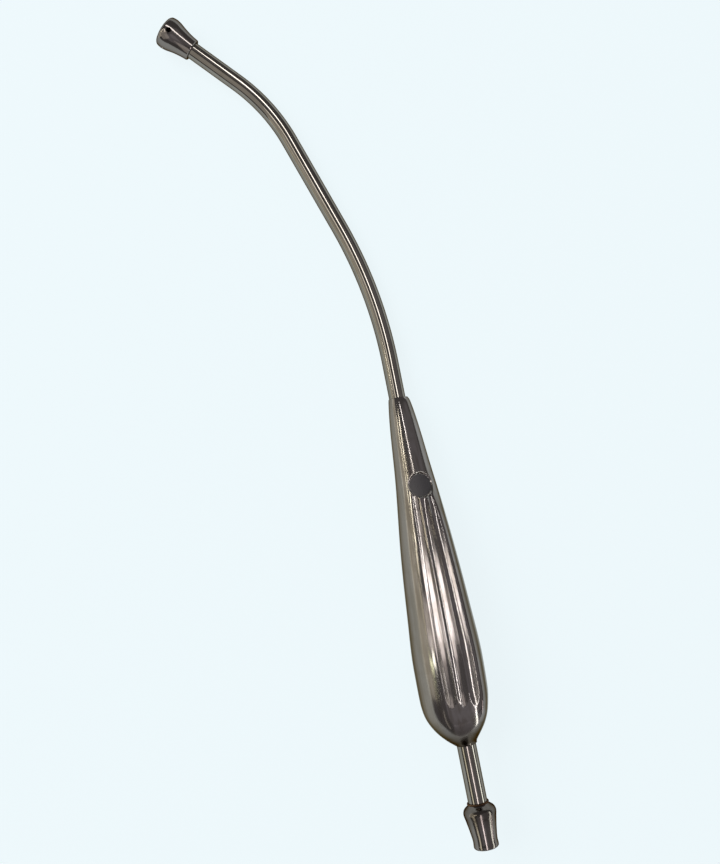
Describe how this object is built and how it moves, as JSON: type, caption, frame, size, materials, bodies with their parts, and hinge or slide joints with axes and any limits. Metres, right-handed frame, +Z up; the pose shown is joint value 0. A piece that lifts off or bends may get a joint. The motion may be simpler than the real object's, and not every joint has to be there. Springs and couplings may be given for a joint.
{
  "type": "yankauer suction tip",
  "caption": "Rigid bent suction tube in plated metal, with a bell-shaped tip, a hollow fluted pear-shaped handle and an olive-shaped hose connector.",
  "frame": {"origin": "middle of the box's base, on the floor that the instrument lies on", "axes": "+X along the handle and towards the tip, +Y towards the inside of the tube's bends, +Z up"},
  "size_m": [0.2832, 0.0668, 0.0237],
  "materials": {
    "turned_metal": "satin",
    "tube_metal": "polished",
    "handle_metal": "polished, worn"
  },
  "bodies": {
    "root": {"suction_tip": "turned_metal", "front_tube": "tube_metal", "handle_shell_upper": "handle_metal", "handle_shell_lower": "handle_metal", "rear_tube": "tube_metal", "hose_connector": "turned_metal"}
  },
  "joints": []
}
